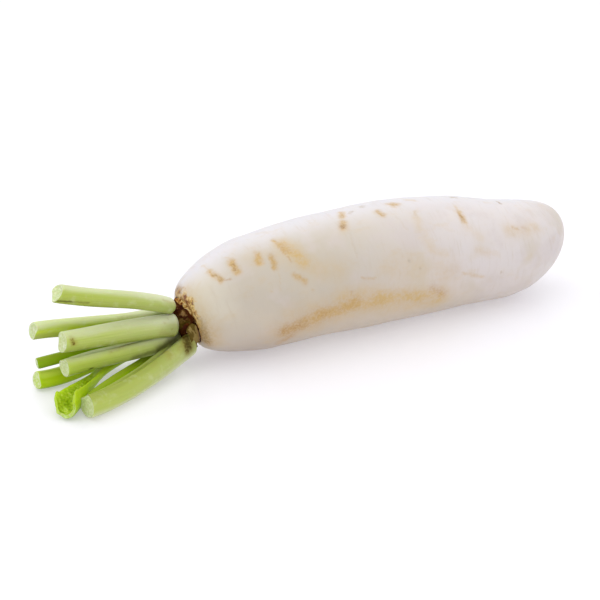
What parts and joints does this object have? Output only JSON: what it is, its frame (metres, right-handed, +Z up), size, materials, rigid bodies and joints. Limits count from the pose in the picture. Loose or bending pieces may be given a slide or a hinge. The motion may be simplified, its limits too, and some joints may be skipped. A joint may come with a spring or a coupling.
{
  "type": "daikon radish",
  "caption": "Whole white daikon radish lying on its side, blunt at the tip, with a dark scarred crown and the stumps of its cut green leaf stalks.",
  "frame": {"origin": "on the surface the radish lies on, under the middle of its box", "axes": "+Z up, +X along the root from the crown towards the blunt tip, +Y to the far side"},
  "size_m": [0.321, 0.0829, 0.0668],
  "materials": {
    "root_skin": "smooth moist white skin with a soft sheen, yellow-brown rootlet scars and faint stains",
    "crown_bark": "dull corky dark brown with pale torn scar edges",
    "pale_stalk": "smooth pale green, finely ribbed, paler towards the foot, whitish at the cut",
    "bright_stalk": "smooth bright yellow-green with darker patches",
    "dark_stalk": "smooth dark olive green"
  },
  "bodies": {
    "root": {"taproot": "root_skin", "crown": "crown_bark", "leaf_stalk_1": "pale_stalk", "leaf_stalk_2": "pale_stalk", "leaf_stalk_3": "pale_stalk", "leaf_stalk_4": "dark_stalk", "leaf_stalk_5": "pale_stalk", "leaf_stalk_6": "bright_stalk", "leaf_stalk_7": "bright_stalk", "leaf_stalk_8": "pale_stalk", "leaf_stalk_9": "dark_stalk"}
  },
  "joints": []
}
